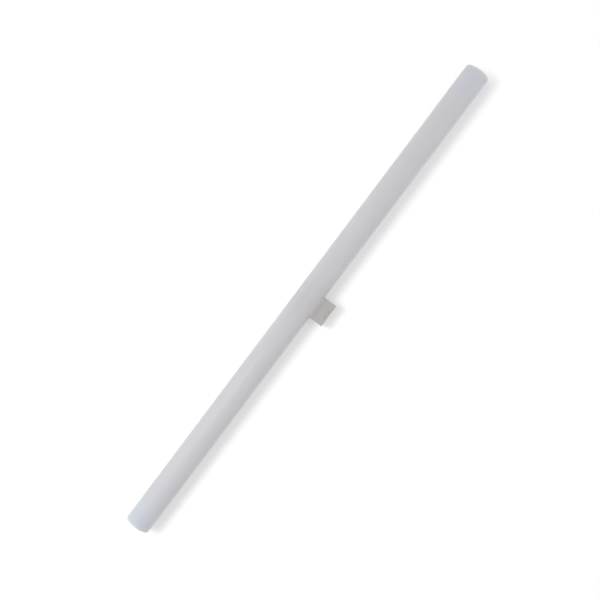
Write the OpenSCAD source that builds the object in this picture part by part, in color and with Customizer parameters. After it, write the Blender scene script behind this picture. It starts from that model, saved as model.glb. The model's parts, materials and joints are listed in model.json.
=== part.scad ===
// Tubular lamp: a sealed opal tube, closed at both ends, with one moulded
// two-contact cap in the middle of its side.
// It lies as it comes to rest. The tube runs along X on the surface z = 0, and the
// cap points to -Y, tipped down until its lower outer edge touches that surface.
// All sizes are in millimetres.

/* [Tube] */
// Overall length of the tube over its closed ends
tube_len = 500; // [100:5:1200]
// Outside diameter of the tube
tube_d = 23; // [19:0.5:38]
// Radius of the corner round each closed end
end_corner_r = 1.8; // [0.6:0.1:4]
// Rise of the shallow dome that closes each end
end_dome = 0.5; // [0.1:0.1:1.5]

/* [Cap] */
// Length of the cap along the tube
cap_len = 22; // [20:0.5:40]
// Thickness of the cap between its two wide faces
cap_thick = 14; // [12:0.5:17]
// Distance that the cap stands out of the tube
cap_out = 12; // [9:0.5:20]
// Radius of the cap's moulded edges
cap_edge_r = 0.6; // [0.2:0.1:1]
// Cement gap between the cap's saddle and the tube
saddle_gap = 0.1; // [0.05:0.05:0.3]

/* [Latch notches] */
// Length of each notch along the tube, at the cap's wide face
notch_len = 8; // [4:0.2:9]
// Height of each notch, from the end face towards the tube
notch_rise = 3.8; // [2:0.2:6]
// Depth of the catch step at the notch's inner end
notch_step = 0.4; // [0.2:0.1:0.8]
// Depth of the notch's ramp at the end face
notch_depth = 1.2; // [0.8:0.1:1.6]
// Slope of the notch's two side walls, from the wide face
notch_slope = 45; // [40:5:85]

/* [Contacts] */
// Distance between the middles of the two contacts
contact_pitch = 12; // [10:0.5:13]
// Length of each contact plate along the tube
contact_len = 4.6; // [3.6:0.2:5.2]
// Width of each contact plate across the cap
contact_w = 8; // [4:0.5:8]
// Thickness of each contact plate
contact_t = 0.6; // [0.3:0.1:1]
// Corner radius of each contact plate
contact_corner_r = 1.2; // [0.4:0.1:1.7]
// Diameter of the button pressed up in the middle of each plate
button_d = 3; // [2:0.1:3.4]
// Rise of that button above the plate
button_rise = 0.4; // [0.2:0.1:0.6]
// Depth of the wells that the contacts lie in
well_depth = 1.6; // [1.3:0.1:3]
// Clearance between a plate's edge and the wall of its well
well_gap = 0.3; // [0.1:0.05:0.4]
// Length of the tail that anchors each contact in the cap
tail_len = 4.5; // [2:0.5:6]
// Width of the tail across the cap
tail_w = 3; // [1.5:0.5:4]
// Clearance between the tail and its slot
tail_gap = 0.05; // [0.02:0.01:0.2]

/* [Hidden] */
$fn = 96;

// Overrun that carries a cut clear through a face
cut = 1;
tube_r = tube_d / 2;

// Closed end: a large dome through the apex and the rim, and a corner arc tangent
// to the dome and to the wall. Both centres are heights along the tube's axis.
dome_r = (tube_r * tube_r + end_dome * end_dome) / (2 * end_dome);
dome_centre = tube_len / 2 - dome_r;
corner_x = tube_r - end_corner_r;
corner_reach = sqrt(pow(dome_r - end_corner_r, 2) - pow(corner_x, 2));
corner_centre = dome_centre + corner_reach;

// Cap, measured outwards from the tube's axis
cap_end = tube_r + cap_out;
cap_half = cap_thick / 2;
saddle_r = tube_r + saddle_gap;
well_floor = cap_end - well_depth;

// Rest pose: the centre of the cap's lower outer edge arc swings down round the
// tube's axis until that arc touches the surface that the tube lies on
edge_out = cap_end - cap_edge_r;
edge_side = cap_half - cap_edge_r;
edge_swing = sqrt(edge_out * edge_out + edge_side * edge_side);
droop = asin((tube_r - cap_edge_r) / edge_swing) - atan2(edge_side, edge_out);

// Reach of the drooped cap's upper outer edge, which puts Y = 0 in the middle
cap_reach = edge_out * cos(droop) + edge_side * sin(droop) + cap_edge_r;
axis_y = (cap_reach - tube_r) / 2;

tube_colour = "#cfced4";
cap_colour = "#afaeab";
contact_colour = "#c8c4ba";

// Half of the tube's section: radius along x, the tube's axis along y
module tube_half_section() {
    square([tube_r, corner_centre]);
    translate([corner_x, corner_centre])
        circle(r = end_corner_r);
    intersection() {
        translate([0, dome_centre])
            circle(r = dome_r, $fn = 720);
        // Sector of the dome, out to where the corner arc takes over
        translate([0, dome_centre])
            polygon([[0, 0], [0, 2 * dome_r], 2 * [corner_x, corner_reach]]);
    }
}

// Rectangle on the origin with rounded corners
module rounded_plate(size, r) {
    square([size.x - 2 * r, size.y], center = true);
    square([size.x, size.y - 2 * r], center = true);
    for (x = [-1, 1], y = [-1, 1])
        translate([x * (size.x / 2 - r), y * (size.y / 2 - r)])
            circle(r = r);
}

// Side view of the cap: width along x, outwards from the tube's axis along y
module cap_side(width) {
    translate([-width / 2, 0])
        square([width, edge_out]);
    translate([-width / 2 + cap_edge_r, 0])
        square([width - 2 * cap_edge_r, cap_end]);
    for (x = [-1, 1])
        translate([x * (width / 2 - cap_edge_r), edge_out])
            circle(r = cap_edge_r);
}

// Everything on the cap is drawn with the tube's axis along X, the cap pointing up Z
// and its upper wide face at +Y, and is then laid over to its place
module on_cap() {
    translate([0, axis_y, tube_r])
        rotate([90 + droop, 0, 0])
            children();
}

// Block with all its outer edges rounded: three outlines, one along each axis
module cap_block() {
    intersection() {
        linear_extrude(cap_end)
            rounded_plate([cap_len, cap_thick], cap_edge_r);
        translate([0, cap_half + cut, 0])
            rotate([90, 0, 0])
                linear_extrude(cap_thick + 2 * cut)
                    cap_side(cap_len);
        translate([-cap_len / 2 - cut, 0, 0])
            rotate([90, 0, 90])
                linear_extrude(cap_len + 2 * cut)
                    cap_side(cap_thick);
    }
}

// Half of a notch's length at a depth below the wide face, between its sloping side walls
function notch_half(depth) = notch_len / 2 - depth / tan(notch_slope);

// One latch notch, in the face at +Y: a ramp that ends in a shallow catch step,
// between two sloping side walls
module notch_cut() {
    notch_top = cap_end - notch_rise;
    intersection() {
        translate([-cap_len / 2, 0, 0])
            rotate([90, 0, 90])
                linear_extrude(cap_len)
                    polygon([
                        [cap_half + cut, notch_top],
                        [cap_half - notch_step, notch_top],
                        [cap_half - notch_depth, cap_end],
                        [cap_half - notch_depth, cap_end + cut],
                        [cap_half + cut, cap_end + cut],
                    ]);
        linear_extrude(cap_end + cut)
            polygon([
                [-notch_half(-cut), cap_half + cut],
                [-notch_half(notch_depth), cap_half - notch_depth],
                [notch_half(notch_depth), cap_half - notch_depth],
                [notch_half(-cut), cap_half + cut],
            ]);
    }
}

// Well for one contact, with the slot for its tail
module well_cut() {
    translate([0, 0, well_floor])
        linear_extrude(well_depth + cut)
            rounded_plate(
                [contact_len + 2 * well_gap, contact_w + 2 * well_gap],
                contact_corner_r + well_gap
            );
    slot = [contact_t + 2 * tail_gap, tail_w + 2 * tail_gap, tail_len + tail_gap];
    translate([-slot.x / 2, -slot.y / 2, well_floor - slot.z])
        cube([slot.x, slot.y, slot.z + cut]);
}

// Low dome of the given base diameter and rise, standing on the origin
module button(d, rise) {
    r = (d * d / 4 + rise * rise) / (2 * rise);
    intersection() {
        translate([0, 0, rise - r])
            sphere(r = r);
        cylinder(d = 2 * d, h = 2 * rise);
    }
}

module tube() {
    color(tube_colour)
        translate([0, axis_y, tube_r])
            rotate([0, 90, 0])
                rotate_extrude() {
                    tube_half_section();
                    mirror([0, 1])
                        tube_half_section();
                }
}

module lamp_cap() {
    color(cap_colour)
        on_cap()
            difference() {
                cap_block();
                rotate([0, 90, 0])
                    cylinder(r = saddle_r, h = cap_len + 2 * cut, center = true);
                for (face = [0, 1])
                    mirror([0, face, 0])
                        notch_cut();
                for (side = [-1, 1])
                    translate([side * contact_pitch / 2, 0, 0])
                        well_cut();
            }
}

// Stamped contact: plate, raised button and tail, seated on its well's floor
module contact(side) {
    color(contact_colour)
        on_cap()
            translate([side * contact_pitch / 2, 0, well_floor]) {
                linear_extrude(contact_t)
                    rounded_plate([contact_len, contact_w], contact_corner_r);
                translate([0, 0, contact_t])
                    button(button_d, button_rise);
                translate([-contact_t / 2, -tail_w / 2, -tail_len])
                    cube([contact_t, tail_w, tail_len + contact_t / 2]);
            }
}

tube();
lamp_cap();
contact(-1);  // contact_left
contact(1);  // contact_right
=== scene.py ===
"""Tubular lamp: the looks of an opal tube with one moulded two-contact cap in the middle of its side."""

import json
import math

import bpy
from bpy.props import FloatProperty, FloatVectorProperty, IntProperty, PointerProperty
from mathutils import Matrix, Vector


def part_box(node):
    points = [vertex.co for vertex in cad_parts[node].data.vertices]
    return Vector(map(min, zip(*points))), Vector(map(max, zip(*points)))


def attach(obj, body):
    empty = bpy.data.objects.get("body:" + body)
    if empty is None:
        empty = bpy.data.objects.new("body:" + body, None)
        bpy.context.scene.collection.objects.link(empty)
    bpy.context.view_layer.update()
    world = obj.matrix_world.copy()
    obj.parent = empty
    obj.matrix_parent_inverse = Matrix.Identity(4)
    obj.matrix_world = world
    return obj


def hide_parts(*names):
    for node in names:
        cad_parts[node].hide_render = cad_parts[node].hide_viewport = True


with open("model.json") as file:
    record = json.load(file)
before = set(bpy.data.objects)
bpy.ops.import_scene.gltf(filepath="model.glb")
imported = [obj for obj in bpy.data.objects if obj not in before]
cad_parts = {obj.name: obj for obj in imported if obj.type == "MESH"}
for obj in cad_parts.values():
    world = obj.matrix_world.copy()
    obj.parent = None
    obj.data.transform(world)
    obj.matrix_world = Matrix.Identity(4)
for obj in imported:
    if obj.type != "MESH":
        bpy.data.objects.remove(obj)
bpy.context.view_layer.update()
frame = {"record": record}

bl_info = {
    "name": "Tubular Lamp",
    "version": (1, 0, 0),
    "blender": (4, 5, 0),
    "location": "3D View > Sidebar > Tubular Lamp",
    "description": "Makes a tubular lamp's opal tube, cap and contacts, and the studio it lies in",
    "category": "Object",
}

MM = 0.001
BODY = "root"

# How far a cutter stands clear of the surface that it cuts through
CLEAR = 2 * MM

# Angle between two faces from which their edge counts as sharp
SHARP = math.radians(30)

# How far apart two places still count as one, and how near two points of a mesh are merged
SAME_PLACE = 0.001 * MM
MERGE_REACH = 0.0001 * MM

# Share of an edge's length that runs along one axis from which the edge counts as upright
UPRIGHT_SHARE = 0.999

# Share of the cap's edge radius from which a point counts as lying on the rounded edge
ON_EDGE_SHARE = 0.98

# Segments of the bevels: corners along Z, the cap's outer edges, the rims of its cuts, the plates' rims
CORNER_SEGMENTS = 8
EDGE_SEGMENTS = 6
CUT_RIM_SEGMENTS = 2
PLATE_RIM_SEGMENTS = 3

# Sides of the round cutter for the saddle and of the ball that the buttons are cut from
SADDLE_SIDES = 256
BUTTON_SIDES = 64

# Where the cap's block starts, in tube radii from the axis, well inside the saddle
BLOCK_START = 0.6

# Rounding of a plate's rim and the depth that its button reaches into it, in sheet thicknesses
PLATE_RIM = 0.2
BUTTON_SINK = 0.25

# Angles in degrees up to which faces shade as one: on the tube's round ends, and on the cap and contacts
ROUND_SMOOTH = 60
EDGE_SMOOTH = 35

# Tube as packed: it lies along X on the floor, so its box gives its length and radius
TUBE_LOW, TUBE_HIGH = (Vector(corner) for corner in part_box("tube"))
TUBE_RADIUS = (TUBE_HIGH.z - TUBE_LOW.z) / 2
TUBE_LENGTH = TUBE_HIGH.x - TUBE_LOW.x
TUBE_MIDDLE = (TUBE_LOW + TUBE_HIGH) / 2

# Cap as packed: the mount on its end face gives the way it points and how far it reaches
CAP_LOW, CAP_HIGH = (Vector(corner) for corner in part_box("lamp_cap"))
CAP_LENGTH = CAP_HIGH.x - CAP_LOW.x
END_FACE = next(m for m in frame["record"]["mounts"] if m["name"] == "cap_end_face")
CAP_OUTWARDS = Vector(END_FACE["axis"]).normalized()
CAP_REACH = (Vector(END_FACE["pos_m"]) - TUBE_MIDDLE).dot(CAP_OUTWARDS)


def cap_frame():
    """Cap's own axes: X along the tube, Y out of its upper wide face, Z outwards from the tube's axis."""
    along = Vector((1, 0, 0))
    upper = CAP_OUTWARDS.cross(along)
    turn = Matrix((along, upper, CAP_OUTWARDS)).transposed()
    return Matrix.Translation(TUBE_MIDDLE) @ turn.to_4x4()


def srgb(red, green, blue):
    """Linear colour of an 8-bit screen colour, by the standard curve for screens."""
    def linear(value):
        share = value / 255
        return share / 12.92 if share <= 0.04045 else ((share + 0.055) / 1.055) ** 2.4

    return linear(red), linear(green), linear(blue)


def length(name, description, millimetres):
    """A length setting with its default in millimetres."""
    return FloatProperty(
        name=name, description=description, default=millimetres * MM, min=0, unit="LENGTH", precision=5
    )


def colour(name, description, red, green, blue):
    """A colour setting with its default as an 8-bit screen colour."""
    return FloatVectorProperty(
        name=name,
        description=description,
        default=srgb(red, green, blue),
        min=0,
        max=1,
        size=3,
        subtype="COLOR",
    )


def share(name, description, value):
    """A setting from 0 to 1."""
    return FloatProperty(name=name, description=description, default=value, min=0, max=1, subtype="FACTOR")


def power(name, description, watts):
    """A light's power setting."""
    return FloatProperty(name=name, description=description, default=watts, min=0, unit="POWER")


class TubeSettings(bpy.types.PropertyGroup):
    """Sizes and finish of the opal tube."""

    sides: IntProperty(name="Sides", description="Faces round the tube", default=128, min=16)
    corner: length("Corner radius", "Radius of the corner round each closed end", 1.8)
    dome: length("Dome rise", "Rise of the shallow dome that closes each end", 0.5)
    dome_rings: IntProperty(name="Dome rings", description="Rings across each dome", default=7, min=2)
    corner_rings: IntProperty(name="Corner rings", description="Rings round each corner", default=8, min=2)
    opal: colour("Opal", "Colour of the opal tube", 200, 199, 203)
    end_tint: colour("End tint", "Cooler colour of the empty stretch at each end", 197, 200, 206)
    # Painted shade and warm painted reflection that the cap throws on the tube beside it
    cap_shade_tint: colour("Cap tint", "Warmer colour where the cap is cemented on", 199, 194, 192)
    end_stretch: length("End stretch", "Length of the cooler stretch at each end", 22)
    # Darker colour of a streak along the tube's top and of a faint ring round the tube about the cap
    streak_tint: colour("Inside tint", "Darker colour where the parts inside show most", 189, 188, 192)
    streak_reach_along: length("Inside reach", "How far to each side the parts inside show through", 110)
    # Painted light: a lighter colour along the cap's joint that cancels the shade of the crease there
    joint_light_tint: colour("Joint tint", "Lighter colour over the cement, along the cap's joint", 214, 211, 210)
    joint_light_width: length("Joint width", "Reach of that lighter colour from the joint", 2.5)
    roughness: share("Roughness", "Satin of the opal surface", 0.46)
    depth: length("Scatter depth", "How far light spreads inside the opal tube", 4.5)


class CapSettings(bpy.types.PropertyGroup):
    """Sizes and finish of the moulded cap."""

    thickness: length("Thickness", "Thickness between the cap's two wide faces", 14)
    edge: length("Edge radius", "Radius of the cap's outer edges", 0.6)
    fine_edge: length("Fine edge", "Radius of the edges of the notches and wells", 0.15)
    saddle_gap: length("Saddle gap", "Gap that the cement leaves open between saddle and tube", 0.02)
    notch_length: length("Notch length", "Length of each latch notch along the tube, at the wide face", 8)
    notch_rise: length("Notch rise", "Height of each notch from the end face", 3.8)
    notch_step: length("Notch step", "Depth of the catch step at the notch's inner end", 0.4)
    notch_depth: length("Notch depth", "Depth of the notch's ramp at the end face", 1.2)
    notch_slope: FloatProperty(
        name="Notch slope",
        description="Slope of the notch's two side walls, from the wide face",
        default=math.radians(45),
        min=math.radians(30),
        max=math.radians(85),
        subtype="ANGLE",
    )
    plastic: colour("Plastic", "Colour of the moulded plastic", 174, 172, 170)
    # Painted shadow that the tube casts on the cap beside it
    tube_shadow_tint: colour("Root tint", "Darker colour of the plastic beside the tube", 168, 165, 164)
    # Painted light: a lighter colour along the joint that cancels the shade of the crease between cap and
    # tube
    crease_light_tint: colour("Cement tint", "Lighter colour where cement shows along the joint", 192, 189, 188)
    crease_light_reach: length("Cement reach", "How far the cement shows on the cap", 1.5)
    roughness: share("Roughness", "Roughness of the moulded plastic", 0.52)


class ContactSettings(bpy.types.PropertyGroup):
    """Sizes and finish of the stamped contacts."""

    pitch: length("Pitch", "Distance between the middles of the two contacts", 12)
    plate_length: length("Plate length", "Length of each plate along the tube", 4.6)
    plate_width: length("Plate width", "Width of each plate across the cap", 8)
    thickness: length("Thickness", "Thickness of the sheet", 0.6)
    corner: length("Corner radius", "Corner radius of each plate", 1.2)
    button: length("Button diameter", "Diameter of the raised button", 3)
    button_rise: length("Button rise", "Rise of the button above its plate", 0.4)
    well_depth: length("Well depth", "Depth of the wells in the end face", 1.6)
    well_gap: length("Well gap", "Clearance round each plate in its well", 0.3)
    tail_length: length("Tail length", "Length of the tail that anchors each contact", 4.5)
    tail_width: length("Tail width", "Width of the tail", 3)
    tail_gap: length("Tail gap", "Clearance round the tail in its slot", 0.05)
    metal: colour("Metal", "Colour of the nickel plating", 205, 200, 190)
    roughness: share("Roughness", "Roughness of the nickel plating", 0.3)


class StageSettings(bpy.types.PropertyGroup):
    """Floor, light and camera."""

    floor_size: length("Floor size", "Side of the square floor", 6000)
    floor: colour("Floor", "Colour with which the floor lights the lamp", 197, 197, 197)
    floor_seen: colour("Floor seen", "Colour of the floor seen by the camera, under the lift", 149, 149, 149)
    lift: share("Lift", "White added to the floor where the camera sees it", 0.504)
    clean_radius: length("Clean radius", "Distance from the lamp where the floor starts to whiten", 400)
    white_radius: length("White radius", "Distance from the lamp from which the floor is all white", 800)
    ambient: share("Ambient", "Level of the light from all round", 0.76)
    key_power: power("Key", "Power of the soft light above the lamp", 3.0)
    key_size: length("Key size", "Side of the square key light", 300)
    shadow_level: FloatProperty(
        name="Shadow level",
        description="Strength of the even light that draws the lamp's shadow on the floor",
        default=2.2,
        min=0,
    )
    shadow_spread: FloatProperty(
        name="Shadow spread",
        description="Angle that this light seems wide, which softens the shadow's edge",
        default=math.radians(30),
        min=0,
        max=math.radians(90),
        subtype="ANGLE",
    )
    side_power: power("Side", "Power of the broad, cool light past the tube's left end", 0.75)
    fill_power: power("Fill", "Power of the broad light before the tube's right end", 0.75)
    panel_size: length("Panel size", "Side of the square side and fill lights", 500)
    camera_distance: length("Camera distance", "Distance of the camera from the tube's axis", 800)


class LampSettings(bpy.types.PropertyGroup):
    """All settings of the lamp."""

    tube: PointerProperty(type=TubeSettings)
    cap: PointerProperty(type=CapSettings)
    contacts: PointerProperty(type=ContactSettings)
    stage: PointerProperty(type=StageSettings)


class Wire:
    """A node's output that reads like a number: an expression on it adds Math nodes."""

    def __init__(self, recipe, socket):
        self.recipe = recipe
        self.socket = socket

    def math(self, operation, *values):
        """A Math node of that operation on this and the other values."""
        return self.recipe.node("ShaderNodeMath", {"operation": operation}, dict(enumerate(values)))

    def __add__(self, other):
        return self.math("ADD", self, other)

    def __radd__(self, other):
        return self.math("ADD", other, self)

    def __sub__(self, other):
        return self.math("SUBTRACT", self, other)

    def __rsub__(self, other):
        return self.math("SUBTRACT", other, self)

    def __mul__(self, other):
        return self.math("MULTIPLY", self, other)

    def __rmul__(self, other):
        return self.math("MULTIPLY", other, self)

    def __abs__(self):
        return self.math("ABSOLUTE", self)

    def highest(self, other):
        """The higher of the two."""
        return self.math("MAXIMUM", self, other)


class Recipe:
    """The node tree of one material or of the world, written as expressions."""

    def __init__(self, owner):
        owner.use_nodes = True
        self.tree = owner.node_tree
        self.tree.nodes.clear()

    def node(self, kind, settings=None, inputs=None, output=0):
        """Add a node: its settings first, then the values or links of its inputs, by name or number."""
        made = self.tree.nodes.new(kind)
        for name, value in (settings or {}).items():
            setattr(made, name, value)
        for key, value in (inputs or {}).items():
            if isinstance(value, Wire):
                self.tree.links.new(value.socket, made.inputs[key])
            elif isinstance(value, (tuple, list)) and len(value) == 3 and made.inputs[key].type == "RGBA":
                made.inputs[key].default_value = (*value, 1)
            else:
                made.inputs[key].default_value = value
        return Wire(self, made.outputs[output]) if made.outputs else made

    def place(self, scale=(1, 1, 1), shift=(0, 0, 0)):
        """Object coordinates, stretched by scale and then shifted."""
        coordinates = self.node("ShaderNodeTexCoord", output="Object")
        return self.node("ShaderNodeMapping", {}, {"Vector": coordinates, "Scale": scale, "Location": shift})

    def axes(self):
        """The three object coordinates, in metres, as numbers."""
        split = self.node("ShaderNodeSeparateXYZ", {}, {"Vector": self.place()})
        return [Wire(self, socket) for socket in split.socket.node.outputs]

    def distance(self, place):
        """How far a place is from the origin, as a number."""
        return self.node("ShaderNodeVectorMath", {"operation": "LENGTH"}, {0: place}, output="Value")

    def noise(self, scale, detail=2, stretch=(1, 1, 1)):
        """Noise from 0 to 1 with about so many features to the metre."""
        inputs = {"Vector": self.place(stretch), "Scale": scale, "Detail": detail}
        return self.node("ShaderNodeTexNoise", {}, inputs)

    def ramp(self, value, low, high):
        """0 below low and 1 above high, smooth between."""
        inputs = {"Value": value, "From Min": low, "From Max": high}
        return self.node("ShaderNodeMapRange", {"interpolation_type": "SMOOTHSTEP"}, inputs)

    def band(self, value, middle, reach):
        """1 at the middle and 0 from the reach on, smooth between."""
        return 1 - self.ramp(abs(value - middle), 0, reach)

    def mix(self, factor, first, second):
        """A colour between two colours."""
        return self.node("ShaderNodeMix", {"data_type": "RGBA"}, {0: factor, 6: first, 7: second}, output=2)

    def tinted(self, base, value, amount):
        """A colour made up to amount darker and lighter by a value from 0 to 1."""
        darker = tuple(part * (1 - amount) for part in base)
        lighter = tuple(min(1, part * (1 + amount)) for part in base)
        return self.mix(value, darker, lighter)

    def bump(self, height, depth):
        """A normal from a height from 0 to 1, so deep in metres."""
        return self.node("ShaderNodeBump", {}, {"Height": height, "Strength": 1, "Distance": depth})

    def finish(self, inputs):
        """A Principled shader with those inputs, joined to the output."""
        shader = self.node("ShaderNodeBsdfPrincipled", {}, inputs)
        self.node("ShaderNodeOutputMaterial", {}, {"Surface": shader})


def joint_line(thickness):
    """A point where the cap's upper wide face meets the tube."""
    half = thickness / 2
    return cap_frame() @ Vector((0, half, math.sqrt(TUBE_RADIUS**2 - half**2)))


# Opal's cooler stretch: where it comes in and goes out, in stretches in from the tube's end
STRETCH_COMES = (-0.1, 0.4)
STRETCH_GOES = (0.5, 1.6)

# Where the opal's painted shade and warm painted reflection beside the cap, and its painted light along the
# joint, fade, in cap lengths along the tube from the cap's middle, and how strong that painted shade is
CAP_SHADE_FADE = (0.4, 1)
JOINT_FADE = (0.4, 0.6)
CAP_SHADE_SHARE = 0.8

# Darker streak along the tube's top: its middle in cap lengths along the tube, and its middle and reach in
# tube radii across it. The darker ring goes all round the tube about the cap, so many cap lengths to each
# side.
# The two shares say how strong each is.
STREAK_ALONG = -0.6
STREAK_ACROSS = 0.32
STREAK_REACH = 0.41
RING_REACH = 1.5
STREAK_SHARE = 0.68
RING_SHARE = 0.32

# Height over which tints of the tube's upper half fade, in tube radii above and below the axis
UPPER_FADE = 0.25

# Opal: its clouds and grain in features to the metre, how far they change colour and roughness, the bump
OPAL_CLOUDS = 60
OPAL_GRAIN = 2600
OPAL_SHADES = 0.012
OPAL_GLOSS_RANGE = 0.06
OPAL_BUMP = 0.004 * MM

# Plastic: the same, the clouds' and grain's shares of the colour, and where the painted shadow of the tube
# on it starts and is full, in cap thicknesses out from the joint
PLASTIC_CLOUDS = 220
PLASTIC_GRAIN = 5200
CLOUD_SHARE = 0.6
GRAIN_SHARE = 0.4
PLASTIC_SHADES = 0.05
PLASTIC_GLOSS_RANGE = 0.12
PLASTIC_BUMP = 0.02 * MM
TUBE_SHADOW_STARTS = 1 / 2
TUBE_SHADOW_FULL = 1 / 14

# Nickel: its rolling lines, stretched across the cap, and its dull patches
NICKEL_LINES = 900
LINES_STRETCH = (8, 0.6, 0.6)
NICKEL_PATCHES = 380
NICKEL_SHADES = 0.06
LINES_GLOSS_RANGE = 0.16
PATCHES_GLOSS_RANGE = 0.1
NICKEL_BUMP = 0.006 * MM


def shares_of(whole, shares):
    """Those shares of a length."""
    return [whole * share_of_it for share_of_it in shares]


def opal_finish(settings, cap):
    """Satin opal: cooler at its empty ends, a faint darker streak along its top and ring about the cap,
    painted shade and warm painted reflection beside the cap, and painted light along the cap's joint.
    """
    material = bpy.data.materials.new("satin_opal")
    recipe = Recipe(material)
    along, across, height = recipe.axes()
    fade = TUBE_RADIUS * UPPER_FADE
    above = recipe.ramp(height, TUBE_MIDDLE.z - fade, TUBE_MIDDLE.z + fade)
    from_end = TUBE_LENGTH / 2 - abs(along)
    at_end = recipe.ramp(from_end, *shares_of(settings.end_stretch, STRETCH_COMES))
    past_end = recipe.ramp(from_end, *shares_of(settings.end_stretch, STRETCH_GOES))
    near_cap = 1 - recipe.ramp(abs(along), *shares_of(CAP_LENGTH, CAP_SHADE_FADE))
    cap_side = 1 - recipe.ramp(across, TUBE_MIDDLE.y - TUBE_RADIUS, TUBE_MIDDLE.y)
    streak_middle = TUBE_MIDDLE.y + TUBE_RADIUS * STREAK_ACROSS
    streak = recipe.band(along, CAP_LENGTH * STREAK_ALONG, settings.streak_reach_along)
    streak = streak * recipe.band(across, streak_middle, TUBE_RADIUS * STREAK_REACH) * above
    ring = recipe.band(along, 0, CAP_LENGTH * RING_REACH)
    joint = recipe.band(across, joint_line(cap.thickness).y, settings.joint_light_width)
    joint = joint * (1 - recipe.ramp(abs(along), *shares_of(CAP_LENGTH, JOINT_FADE))) * above
    cloud = recipe.noise(OPAL_CLOUDS, detail=3)
    body = recipe.tinted(tuple(settings.opal), cloud, OPAL_SHADES)
    cooled = recipe.mix(at_end * (1 - past_end), body, tuple(settings.end_tint))
    shaded = recipe.mix(streak * STREAK_SHARE + ring * RING_SHARE, cooled, tuple(settings.streak_tint))
    # Painted shade and warm painted reflection of the cap on the tube's side next to it
    cap_shaded = recipe.mix(near_cap * cap_side * CAP_SHADE_SHARE, shaded, tuple(settings.cap_shade_tint))
    # Painted light along the joint, which cancels the crease's shade
    tint = recipe.mix(joint, cap_shaded, tuple(settings.joint_light_tint))
    grain = recipe.noise(OPAL_GRAIN, detail=2)
    recipe.finish({
        "Base Color": tint,
        "Roughness": settings.roughness + (cloud - 0.5) * OPAL_GLOSS_RANGE,
        "Subsurface Weight": 1.0,
        "Subsurface Radius": (1.0, 1.0, 1.0),
        "Subsurface Scale": settings.depth,
        "Normal": recipe.bump(grain, OPAL_BUMP),
    })
    return material


def plastic_finish(settings):
    """Matt moulded plastic: fine grain, faint clouds, a painted shadow of the tube beside it, and painted
    light along the joint that cancels the crease's shade.
    """
    material = bpy.data.materials.new("moulded_plastic")
    recipe = Recipe(material)
    _, across, _ = recipe.axes()
    joint = joint_line(settings.thickness).y
    tube_shadow_start = joint - settings.thickness * TUBE_SHADOW_STARTS
    in_tube_shadow = recipe.ramp(across, tube_shadow_start, joint - settings.thickness * TUBE_SHADOW_FULL)
    from_axis = recipe.distance(recipe.place(scale=(0, 1, 1), shift=-TUBE_MIDDLE))
    # Painted light along the joint, which cancels the crease's shade
    cement = recipe.band(from_axis, TUBE_RADIUS, settings.crease_light_reach)
    cloud = recipe.noise(PLASTIC_CLOUDS, detail=3)
    grain = recipe.noise(PLASTIC_GRAIN, detail=3)
    speckle = cloud * CLOUD_SHARE + grain * GRAIN_SHARE
    body = recipe.tinted(tuple(settings.plastic), speckle, PLASTIC_SHADES)
    # Painted shadow of the tube on the cap's face near it
    tube_shadowed = recipe.mix(in_tube_shadow, body, tuple(settings.tube_shadow_tint))
    recipe.finish({
        "Base Color": recipe.mix(cement, tube_shadowed, tuple(settings.crease_light_tint)),
        "Roughness": settings.roughness + (grain - 0.5) * PLASTIC_GLOSS_RANGE,
        "Normal": recipe.bump(grain, PLASTIC_BUMP),
    })
    return material


def nickel_finish(settings):
    """Nickel-plated sheet: rolling lines across the cap and a slight dulling in patches."""
    material = bpy.data.materials.new("nickel_plate")
    recipe = Recipe(material)
    lines = recipe.noise(NICKEL_LINES, detail=4, stretch=LINES_STRETCH)
    patches = recipe.noise(NICKEL_PATCHES, detail=2)
    gloss = (lines - 0.5) * LINES_GLOSS_RANGE
    recipe.finish({
        "Base Color": recipe.tinted(tuple(settings.metal), patches, NICKEL_SHADES),
        "Metallic": 1.0,
        "Roughness": settings.roughness + gloss + (patches - 0.5) * PATCHES_GLOSS_RANGE,
        "Normal": recipe.bump(lines, NICKEL_BUMP),
    })
    return material


def floor_finish(settings):
    """White floor that keeps its shadows, lifted where it is seen, and all white far from the lamp."""
    material = bpy.data.materials.new("white_floor")
    recipe = Recipe(material)
    paint = recipe.node("ShaderNodeBsdfDiffuse", {}, {"Color": tuple(settings.floor)})
    seen_paint = recipe.node("ShaderNodeBsdfDiffuse", {}, {"Color": tuple(settings.floor_seen)})
    lift = recipe.node("ShaderNodeEmission", {}, {"Strength": settings.lift})
    lifted = recipe.node("ShaderNodeAddShader", {}, {0: seen_paint, 1: lift})
    white = recipe.node("ShaderNodeEmission", {}, {"Strength": 1.0})
    far = recipe.ramp(recipe.distance(recipe.place()), settings.clean_radius, settings.white_radius)
    seen_floor = recipe.node("ShaderNodeMixShader", {}, {0: far, 1: lifted, 2: white})
    surface = recipe.node("ShaderNodeMixShader", {}, {0: seen_directly(recipe), 1: paint, 2: seen_floor})
    recipe.node("ShaderNodeOutputMaterial", {}, {"Surface": surface})
    return material


def seen_directly(recipe):
    """1 for what the camera sees, straight or in a reflection or through glass, otherwise 0."""
    path = recipe.node("ShaderNodeLightPath").socket.node.outputs
    camera, mirrored, through = (
        Wire(recipe, path[name]) for name in ("Is Camera Ray", "Is Glossy Ray", "Is Transmission Ray")
    )
    return camera.highest(mirrored).highest(through)


def only(piece):
    """Select that piece alone and make it active."""
    bpy.ops.object.select_all(action="DESELECT")
    piece.select_set(True)
    bpy.context.view_layer.objects.active = piece


def added(name):
    """The object just added, renamed, with its place and size put into its mesh."""
    piece = bpy.context.active_object
    piece.name = name
    piece.data.name = name
    bpy.ops.object.transform_apply(location=True, rotation=True, scale=True)
    return piece


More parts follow.
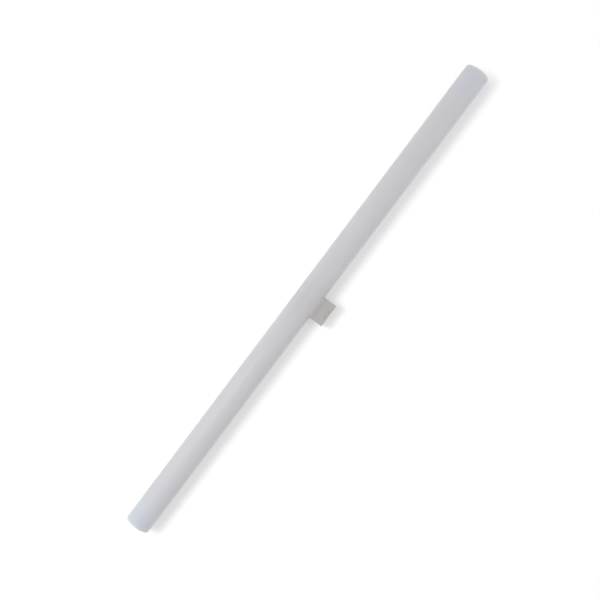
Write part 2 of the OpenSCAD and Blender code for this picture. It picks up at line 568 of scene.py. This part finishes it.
def copied(piece, name, move=(0, 0, 0), scale=(1, 1, 1)):
    """A copy of a piece with a mesh of its own, moved and scaled in that mesh."""
    only(piece)
    bpy.ops.object.duplicate(linked=False)
    copy = bpy.context.active_object
    copy.location = move
    copy.scale = scale
    return added(name)


def block(name, low, high):
    """A box between two corners, to be shaped further."""
    low, high = Vector(low), Vector(high)
    bpy.ops.object.select_all(action="DESELECT")
    bpy.ops.mesh.primitive_cube_add(size=1, location=(low + high) / 2)
    bpy.context.active_object.scale = high - low
    return added(name)


def pick(piece, kind, test, sharp=False):
    """Go to edit mode with those faces or edges selected whose points pass the test, or only sharp edges."""
    only(piece)
    mesh = piece.data
    bpy.ops.object.mode_set(mode="EDIT")
    bpy.ops.mesh.select_mode(type=kind)
    bpy.ops.mesh.select_all(action="DESELECT" if sharp else "SELECT")
    if sharp:
        bpy.ops.mesh.edges_select_sharp(sharpness=SHARP)
    bpy.ops.object.mode_set(mode="OBJECT")
    items = mesh.polygons if kind == "FACE" else mesh.edges
    chosen = [item for item in items if item.select and test([mesh.vertices[i].co for i in item.vertices])]
    numbers = [item.index for item in chosen]
    bpy.ops.object.mode_set(mode="EDIT")
    bpy.ops.mesh.select_all(action="DESELECT")
    bpy.ops.object.mode_set(mode="OBJECT")
    for number in numbers:
        (mesh.polygons if kind == "FACE" else mesh.edges)[number].select = True
    bpy.ops.object.mode_set(mode="EDIT")


def leave_edit():
    """Go back to object mode."""
    bpy.ops.object.mode_set(mode="OBJECT")


def level(points, axis, value):
    """True if all points lie at that value on that axis."""
    return all(abs(point[axis] - value) < SAME_PLACE for point in points)


def upright(points, axis):
    """True if an edge runs along that axis."""
    run = points[1] - points[0]
    return abs(run[axis]) > UPRIGHT_SHARE * run.length


def use(piece, kind, **settings):
    """Add a modifier with those settings and apply it."""
    only(piece)
    modifier = piece.modifiers.new(kind.title(), kind)
    for name, value in settings.items():
        setattr(modifier, name, value)
    bpy.ops.object.modifier_apply(modifier=modifier.name)


def combine(piece, operation, tools):
    """Cut each tool out of the piece, or join it on, and remove the tool."""
    for tool in tools:
        use(piece, "BOOLEAN", operation=operation, solver="EXACT", object=tool)
        bpy.data.objects.remove(tool, do_unlink=True)


def dress(piece, node, material, smooth_degrees):
    """Smooth a finished piece, give it its material and let it stand for its CAD node."""
    only(piece)
    bpy.ops.object.shade_smooth_by_angle(angle=math.radians(smooth_degrees))
    piece.data.materials.clear()
    piece.data.materials.append(material)
    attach(piece, BODY)
    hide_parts(node)
    next(s["material_slot"] for s in frame["record"]["subparts"] if s["node"] == node)


def end_rings(settings):
    """Rings of one closed end, from its apex to the wall: (distance in from the end, radius)."""
    corner, dome = settings.corner, settings.dome
    dome_radius = (TUBE_RADIUS**2 + dome**2) / (2 * dome)
    corner_x = TUBE_RADIUS - corner
    corner_y = math.sqrt((dome_radius - corner) ** 2 - corner_x**2)
    meeting = math.atan2(corner_x, corner_y)
    rings = []
    for step in range(1, settings.dome_rings + 1):
        angle = meeting * step / settings.dome_rings
        rings.append((dome_radius * (1 - math.cos(angle)), dome_radius * math.sin(angle)))
    for step in range(1, settings.corner_rings + 1):
        angle = meeting + (math.pi / 2 - meeting) * step / settings.corner_rings
        inwards = dome_radius - corner_y - corner * math.cos(angle)
        rings.append((inwards, corner_x + corner * math.sin(angle)))
    return rings


def make_tube(settings):
    """Closed tube: a small disc at one apex, extruded ring by ring to the other."""
    rings = end_rings(settings)
    stations = [(TUBE_LOW.x + inwards, radius) for inwards, radius in rings]
    stations += [(TUBE_HIGH.x - inwards, radius) for inwards, radius in reversed(rings)]
    start, radius = stations[0]
    bpy.ops.object.select_all(action="DESELECT")
    bpy.ops.mesh.primitive_circle_add(
        vertices=settings.sides,
        radius=radius,
        fill_type="TRIFAN",
        location=(start, TUBE_MIDDLE.y, TUBE_MIDDLE.z),
        rotation=(0, math.pi / 2, 0),
    )
    tube = added("opal_tube")
    bpy.ops.object.mode_set(mode="EDIT")
    bpy.ops.mesh.select_mode(type="FACE")
    bpy.ops.mesh.select_all(action="SELECT")
    for here, new_radius in stations[1:]:
        bpy.ops.mesh.extrude_region_move(TRANSFORM_OT_translate={"value": (here - start, 0, 0)})
        growth = new_radius / radius
        middle = (here, TUBE_MIDDLE.y, TUBE_MIDDLE.z)
        bpy.ops.transform.resize(value=(1, growth, growth), center_override=middle)
        start, radius = here, new_radius
    bpy.ops.mesh.select_all(action="SELECT")
    bpy.ops.mesh.remove_doubles(threshold=MERGE_REACH)
    bpy.ops.mesh.normals_make_consistent(inside=False)
    leave_edit()
    return tube


def notch_cutters(settings):
    """Cutters for the two latch notches: a ramp between two sloping side walls, and its mirror image."""
    face = settings.thickness / 2
    inner = CAP_REACH - settings.notch_rise
    low = (-settings.notch_length / 2, face - settings.notch_depth, inner)
    high = (settings.notch_length / 2, face, CAP_REACH)
    upper = block("upper_notch_cutter", low, high)
    for z, depth in ((inner, settings.notch_step), (CAP_REACH, settings.notch_depth)):
        pick(upper, "EDGE", lambda points: level(points, 1, low[1]) and level(points, 2, z))
        bpy.ops.transform.translate(value=(0, settings.notch_depth - depth, 0))
        narrowing = 1 - depth / math.tan(settings.notch_slope) / high[0]
        bpy.ops.transform.resize(value=(narrowing, 1, 1), center_override=(0, 0, 0))
        leave_edit()
    pick(upper, "FACE", lambda points: level(points, 1, face))
    bpy.ops.mesh.extrude_region_move(TRANSFORM_OT_translate={"value": (0, CLEAR, 0)})
    leave_edit()
    pick(upper, "FACE", lambda points: level(points, 2, CAP_REACH))
    bpy.ops.mesh.extrude_region_move(TRANSFORM_OT_translate={"value": (0, 0, CLEAR)})
    leave_edit()
    lower = copied(upper, "lower_notch_cutter", scale=(1, -1, 1))
    pick(lower, "FACE", lambda points: True)
    bpy.ops.mesh.normals_make_consistent(inside=False)
    leave_edit()
    return [upper, lower]


def left_and_right(piece, pitch):
    """Two copies of a piece, half the pitch to either side of the cap's middle, in place of the piece."""
    copies = [copied(piece, f"{piece.name}_{end}", move=(side * pitch / 2, 0, 0))
              for end, side in (("left", -1), ("right", 1))]
    bpy.data.objects.remove(piece, do_unlink=True)
    return copies


def rounded_block(name, low, high, corner):
    """A box whose four edges along Z are rounded."""
    made = block(name, low, high)
    pick(made, "EDGE", lambda points: upright(points, 2))
    bpy.ops.mesh.bevel(offset=corner, segments=CORNER_SEGMENTS, affect="EDGES")
    leave_edit()
    return made


def well_cutters(settings):
    """Cutters for the two contact wells, each with the slot for a tail."""
    floor = CAP_REACH - settings.well_depth
    half_x = settings.plate_length / 2 + settings.well_gap
    half_y = settings.plate_width / 2 + settings.well_gap
    well = rounded_block(
        "well_cutter", (-half_x, -half_y, floor), (half_x, half_y, CAP_REACH + CLEAR),
        settings.corner + settings.well_gap,
    )
    slot_x = settings.thickness / 2 + settings.tail_gap
    slot_y = settings.tail_width / 2 + settings.tail_gap
    bottom = floor - settings.tail_length - settings.tail_gap
    slot = block("slot_cutter", (-slot_x, -slot_y, bottom), (slot_x, slot_y, floor + settings.well_depth / 2))
    combine(well, "UNION", [slot])
    return left_and_right(well, settings.pitch)


def saddle_cutter(settings):
    """The tube with its cement gap, to seat the cap on."""
    bpy.ops.object.select_all(action="DESELECT")
    bpy.ops.mesh.primitive_cylinder_add(
        vertices=SADDLE_SIDES,
        radius=TUBE_RADIUS + settings.saddle_gap,
        depth=CAP_LENGTH * 2,
        rotation=(0, math.pi / 2, 0),
    )
    return added("saddle_cutter")


def at_surface(point, settings):
    """True if a point of the cap lies on its end face, on a wide face or on the rounded edge between."""
    to_face = settings.thickness / 2 - abs(point.y)
    to_end = CAP_REACH - point.z
    if to_face < settings.edge and to_end < settings.edge:
        from_middle = math.hypot(settings.edge - to_face, settings.edge - to_end)
        return from_middle > settings.edge * ON_EDGE_SHARE
    return min(to_face, to_end) < SAME_PLACE


def make_cap(settings, contacts):
    """Moulded cap: a rounded block with notches and wells cut, their rims eased, seated on the tube."""
    half_x, half_y = CAP_LENGTH / 2, settings.thickness / 2
    root = TUBE_RADIUS * BLOCK_START
    cap = block("moulded_cap", (-half_x, -half_y, root), (half_x, half_y, CAP_REACH))
    pick(cap, "EDGE", lambda points: not level(points, 2, root))
    bpy.ops.mesh.bevel(offset=settings.edge, segments=EDGE_SEGMENTS, affect="EDGES")
    leave_edit()
    combine(cap, "DIFFERENCE", notch_cutters(settings) + well_cutters(contacts))
    pick(cap, "EDGE", lambda points: all(at_surface(point, settings) for point in points), sharp=True)
    bpy.ops.mesh.bevel(offset=settings.fine_edge, segments=CUT_RIM_SEGMENTS, affect="EDGES")
    leave_edit()
    combine(cap, "DIFFERENCE", [saddle_cutter(settings)])
    put_on_lamp(cap)
    return cap


def put_on_lamp(piece):
    """Move a piece drawn in the cap's own axes to its place on the lamp."""
    piece.matrix_world = cap_frame()
    only(piece)
    bpy.ops.object.transform_apply(location=True, rotation=True, scale=True)


def make_contacts(settings):
    """Two stamped contacts: each a rounded plate with a raised button and a tail."""
    floor = CAP_REACH - settings.well_depth
    top = floor + settings.thickness
    half_x, half_y = settings.plate_length / 2, settings.plate_width / 2
    plate = rounded_block("contact_plate", (-half_x, -half_y, floor), (half_x, half_y, top), settings.corner)
    pick(plate, "EDGE", lambda points: level(points, 2, top))
    rim = settings.thickness * PLATE_RIM
    bpy.ops.mesh.bevel(offset=rim, segments=PLATE_RIM_SEGMENTS, affect="EDGES")
    leave_edit()
    ball_radius = (settings.button**2 / 4 + settings.button_rise**2) / (2 * settings.button_rise)
    ball_middle = top + settings.button_rise - ball_radius
    bpy.ops.object.select_all(action="DESELECT")
    bpy.ops.mesh.primitive_uv_sphere_add(
        segments=BUTTON_SIDES, ring_count=BUTTON_SIDES, radius=ball_radius, location=(0, 0, ball_middle)
    )
    button = added("button")
    bpy.ops.object.mode_set(mode="EDIT")
    bpy.ops.mesh.select_all(action="SELECT")
    sunk = top - settings.thickness * BUTTON_SINK
    bpy.ops.mesh.bisect(plane_co=(0, 0, sunk), plane_no=(0, 0, 1), use_fill=True, clear_inner=True)
    leave_edit()
    tail_x, tail_y = settings.thickness / 2, settings.tail_width / 2
    tail_low = (-tail_x, -tail_y, floor - settings.tail_length)
    tail = block("tail", tail_low, (tail_x, tail_y, floor + settings.thickness / 2))
    combine(plate, "UNION", [button, tail])
    put_on_lamp(plate)
    return left_and_right(plate, settings.pitch)


class TUBULAR_LAMP_OT_tube(bpy.types.Operator):
    """Make the sealed opal tube"""

    bl_idname = "tubular_lamp.tube"
    bl_label = "Opal Tube"
    bl_options = {"REGISTER", "UNDO"}

    def execute(self, context):
        lamp = context.scene.tubular_lamp
        dress(make_tube(lamp.tube), "tube", opal_finish(lamp.tube, lamp.cap), ROUND_SMOOTH)
        return {"FINISHED"}


class TUBULAR_LAMP_OT_cap(bpy.types.Operator):
    """Make the moulded cap on the tube's side"""

    bl_idname = "tubular_lamp.cap"
    bl_label = "Moulded Cap"
    bl_options = {"REGISTER", "UNDO"}

    def execute(self, context):
        lamp = context.scene.tubular_lamp
        cap = make_cap(lamp.cap, lamp.contacts)
        dress(cap, "lamp_cap", plastic_finish(lamp.cap), EDGE_SMOOTH)
        use(cap, "WEIGHTED_NORMAL", keep_sharp=True)
        return {"FINISHED"}


class TUBULAR_LAMP_OT_contacts(bpy.types.Operator):
    """Make the two stamped contacts in the cap's wells"""

    bl_idname = "tubular_lamp.contacts"
    bl_label = "Contacts"
    bl_options = {"REGISTER", "UNDO"}

    def execute(self, context):
        settings = context.scene.tubular_lamp.contacts
        nickel = nickel_finish(settings)
        for contact, node in zip(make_contacts(settings), ("contact_left", "contact_right")):
            dress(contact, node, nickel, EDGE_SMOOTH)
            use(contact, "WEIGHTED_NORMAL", keep_sharp=True)
        return {"FINISHED"}


# Photograph's framing: the side of its square frame in pixels, the tube's rise from the horizontal in
# degrees, the pixel where its middle lands, and the size of a pixel at the tube's axis
PHOTO_SIDE = 600
PHOTO_RISE = 53.05
PHOTO_MIDDLE = (306.7, 299.7)
PHOTO_PIXEL = 0.881 * MM
SENSOR_WIDTH = 36.0

# Slight lean of the photograph's camera towards the tube's right end, which shows a little larger
CAMERA_LEAN = math.radians(0.9)

# Where the lights stand: the key above and behind the lamp, nearer its left end, and the even light that
# draws the shadow beside it, a cool panel past the left end and a fill before the right end
KEY_PLACE = Vector((-0.2, 0.56, 0.83))
SHADOW_PLACE = Vector((-0.2, 0.55, 0.84))
SIDE_PLACE = Vector((-0.75, 0.25, 0.35))
FILL_PLACE = Vector((0.6, -0.6, 0.35))
SIDE_TINT = (0.7, 0.9, 1.0)


def make_camera(settings):
    """Camera above the lamp, turned so that the tube rises to the right as in the photograph."""
    turn = -math.radians(PHOTO_RISE)
    right = Vector((math.cos(turn), math.sin(turn), 0))
    up = Vector((-math.sin(turn), math.cos(turn), 0))
    aside = (PHOTO_MIDDLE[0] - PHOTO_SIDE / 2) * PHOTO_PIXEL
    above = (PHOTO_SIDE / 2 - PHOTO_MIDDLE[1]) * PHOTO_PIXEL
    target = TUBE_MIDDLE - right * aside - up * above
    back = Vector((math.sin(CAMERA_LEAN), 0, math.cos(CAMERA_LEAN)))
    facing = Matrix.Rotation(CAMERA_LEAN, 3, "Y") @ Matrix.Rotation(turn, 3, "Z")
    bpy.ops.object.camera_add(location=target + back * settings.camera_distance, rotation=facing.to_euler())
    camera = bpy.context.active_object
    camera.data.sensor_width = SENSOR_WIDTH
    camera.data.lens = SENSOR_WIDTH * settings.camera_distance / (PHOTO_SIDE * PHOTO_PIXEL)
    bpy.context.scene.camera = camera


def add_panel(place, aim_x, size, watts, tint=(1, 1, 1)):
    """A square light panel that faces a point on the tube's axis and isn't seen itself."""
    target = Vector((aim_x, TUBE_MIDDLE.y, TUBE_MIDDLE.z))
    aim = (place - target).to_track_quat("Z", "Y").to_euler()
    bpy.ops.object.light_add(type="AREA", location=place, rotation=aim)
    panel = bpy.context.active_object
    panel.visible_camera = False
    panel.data.size = size
    panel.data.energy = watts
    panel.data.color = tint


def add_shadow_light(settings, floor):
    """An even light that falls on the floor alone, where it draws the lamp's soft shadow."""
    aim = SHADOW_PLACE.to_track_quat("Z", "Y").to_euler()
    bpy.ops.object.light_add(type="SUN", location=SHADOW_PLACE, rotation=aim)
    light = bpy.context.active_object
    light.data.energy = settings.shadow_level
    light.data.angle = settings.shadow_spread
    floor_alone = bpy.data.collections.new("floor_alone")
    floor_alone.objects.link(floor)
    light.light_linking.receiver_collection = floor_alone


def make_light(settings, floor):
    """Three panels, the shadow's light, and a world that lights evenly and shows white where it is seen."""
    add_panel(KEY_PLACE, KEY_PLACE.x, settings.key_size, settings.key_power)
    add_shadow_light(settings, floor)
    add_panel(SIDE_PLACE, TUBE_LOW.x, settings.panel_size, settings.side_power, SIDE_TINT)
    add_panel(FILL_PLACE, TUBE_HIGH.x, settings.panel_size, settings.fill_power)
    world = bpy.data.worlds.new("studio")
    bpy.context.scene.world = world
    recipe = Recipe(world)
    level_seen = settings.ambient + seen_directly(recipe) * (1 - settings.ambient)
    sky = recipe.node("ShaderNodeBackground", {}, {"Color": (1, 1, 1), "Strength": level_seen})
    recipe.node("ShaderNodeOutputWorld", {}, {"Surface": sky})


def make_floor(settings):
    """Wide white floor that the lamp lies on."""
    bpy.ops.object.select_all(action="DESELECT")
    bpy.ops.mesh.primitive_plane_add(size=settings.floor_size, location=(0, 0, 0))
    floor = added("floor")
    floor.data.materials.append(floor_finish(settings))
    return floor


class TUBULAR_LAMP_OT_stage(bpy.types.Operator):
    """Make the floor, the light and the camera"""

    bl_idname = "tubular_lamp.stage"
    bl_label = "Studio"
    bl_options = {"REGISTER", "UNDO"}

    def execute(self, context):
        settings = context.scene.tubular_lamp.stage
        context.scene.view_settings.view_transform = "Standard"
        make_light(settings, make_floor(settings))
        make_camera(settings)
        return {"FINISHED"}


class TUBULAR_LAMP_PT_panel(bpy.types.Panel):
    """Lists the lamp's operators and settings"""

    bl_idname = "TUBULAR_LAMP_PT_panel"
    bl_label = "Tubular Lamp"
    bl_space_type = "VIEW_3D"
    bl_region_type = "UI"
    bl_category = "Tubular Lamp"

    def draw(self, context):
        lamp = context.scene.tubular_lamp
        for operator, group in zip(OPERATORS, (lamp.tube, lamp.cap, lamp.contacts, lamp.stage)):
            box = self.layout.box()
            box.operator(operator.bl_idname)
            for name in group.__annotations__:
                box.prop(group, name)


GROUPS = (TubeSettings, CapSettings, ContactSettings, StageSettings, LampSettings)
OPERATORS = (TUBULAR_LAMP_OT_tube, TUBULAR_LAMP_OT_cap, TUBULAR_LAMP_OT_contacts, TUBULAR_LAMP_OT_stage)


def register():
    for kind in (*GROUPS, *OPERATORS, TUBULAR_LAMP_PT_panel):
        bpy.utils.register_class(kind)
    bpy.types.Scene.tubular_lamp = PointerProperty(type=LampSettings)


def unregister():
    del bpy.types.Scene.tubular_lamp
    for kind in reversed((*GROUPS, *OPERATORS, TUBULAR_LAMP_PT_panel)):
        bpy.utils.unregister_class(kind)


def main():
    """Make every piece and the studio."""
    register()
    bpy.ops.tubular_lamp.tube()
    bpy.ops.tubular_lamp.cap()
    bpy.ops.tubular_lamp.contacts()
    bpy.ops.tubular_lamp.stage()


if __name__ == "__main__":
    main()
